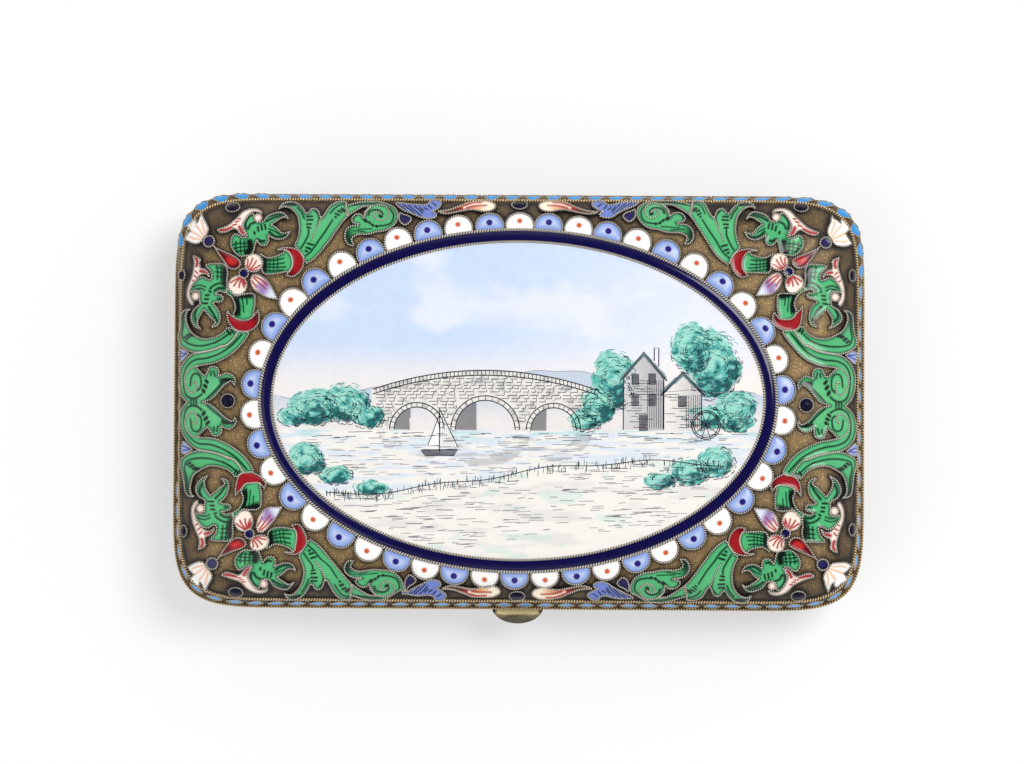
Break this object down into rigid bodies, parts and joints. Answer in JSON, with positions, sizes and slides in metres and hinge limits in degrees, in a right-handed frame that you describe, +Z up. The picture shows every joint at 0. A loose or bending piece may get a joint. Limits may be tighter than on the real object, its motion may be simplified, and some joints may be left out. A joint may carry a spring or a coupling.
{
  "type": "cloisonne cigarette case",
  "caption": "Flat hinged pocket case of gilt metal with cushioned halves, raised enamel scrollwork, an oval enamel picture in a scalloped frame, and a push piece that frees the lid.",
  "frame": {"origin": "middle of the flat oval plate on the back, which the closed case rests on", "axes": "+X along the case's length, -Y towards the push piece, +Y towards the hinge, +Z up through the lid"},
  "size_m": [0.1082, 0.0672, 0.0207],
  "materials": {
    "gilt_ground": "stippled",
    "gilt_plain": "satin",
    "gilt_wire": "twisted wire",
    "silver_wire": "twisted wire",
    "spring_metal": "satin",
    "green_enamel": "gloss",
    "turquoise_enamel": "gloss",
    "navy_enamel": "gloss",
    "white_enamel": "gloss",
    "coral_enamel": "gloss",
    "picture_enamel": "gloss"
  },
  "bodies": {
    "base": {"base_shell": "gilt_ground", "base_hinge_bearer": "gilt_plain", "base_bezel": "gilt_plain", "base_face_rope": "gilt_wire", "base_side_band": "turquoise_enamel", "base_rim_rope_left": "gilt_wire", "base_rim_rope_right": "gilt_wire", "back_oval_plate": "gilt_plain", "back_oval_rope": "silver_wire", "back_scroll_ne": "green_enamel", "back_scroll_nw": "green_enamel", "back_scroll_sw": "green_enamel", "back_scroll_se": "green_enamel", "base_knuckle_1": "gilt_plain", "base_knuckle_3": "gilt_plain", "base_knuckle_5": "gilt_plain", "base_knuckle_7": "gilt_plain", "hinge_pin": "spring_metal", "hinge_plug_left": "gilt_plain", "hinge_plug_right": "gilt_plain", "catch_spring": "spring_metal", "catch_rivet_left": "gilt_plain", "catch_rivet_right": "gilt_plain"},
    "lid": {"lid_shell": "gilt_ground", "lid_hinge_bearer": "gilt_plain", "lid_keeper": "gilt_plain", "lid_rim_rope": "gilt_wire", "lid_face_rope": "gilt_wire", "lid_side_band": "turquoise_enamel", "plaque_outer_rope": "silver_wire", "plaque_inner_rope": "silver_wire", "plaque_navy_band": "navy_enamel", "picture_plaque": "picture_enamel", "scallop_border": "white_enamel", "flower_ne": "coral_enamel", "flower_nw": "coral_enamel", "flower_sw": "coral_enamel", "flower_se": "coral_enamel", "tulip_ne": "white_enamel", "tulip_nw": "white_enamel", "tulip_sw": "white_enamel", "tulip_se": "white_enamel", "scroll_long_ne": "green_enamel", "scroll_long_nw": "green_enamel", "scroll_long_sw": "green_enamel", "scroll_long_se": "green_enamel", "scroll_end_ne": "green_enamel", "scroll_end_nw": "green_enamel", "scroll_end_sw": "green_enamel", "scroll_end_se": "green_enamel", "bead_back": "navy_enamel", "bead_front": "navy_enamel", "bead_right": "navy_enamel", "bead_left": "navy_enamel", "lid_knuckle_2": "gilt_plain", "lid_knuckle_4": "gilt_plain", "lid_knuckle_6": "gilt_plain"},
    "push_piece": {"thumb_piece": "gilt_plain"}
  },
  "joints": [
    {"name": "lid_hinge", "type": "hinge", "parent": "base", "child": "lid", "pos_m": [0, 0.03155, 0.01034], "axis": [-1, 0, 0], "range_deg": [0, 110], "deforming": ["catch_spring"]},
    {"name": "thumb_push", "type": "slide", "parent": "base", "child": "push_piece", "axis": [0, 1, 0], "range_m": [0, 0.0009], "stiffness_N_per_m": 600, "springref_m": -0.0005}
  ]
}
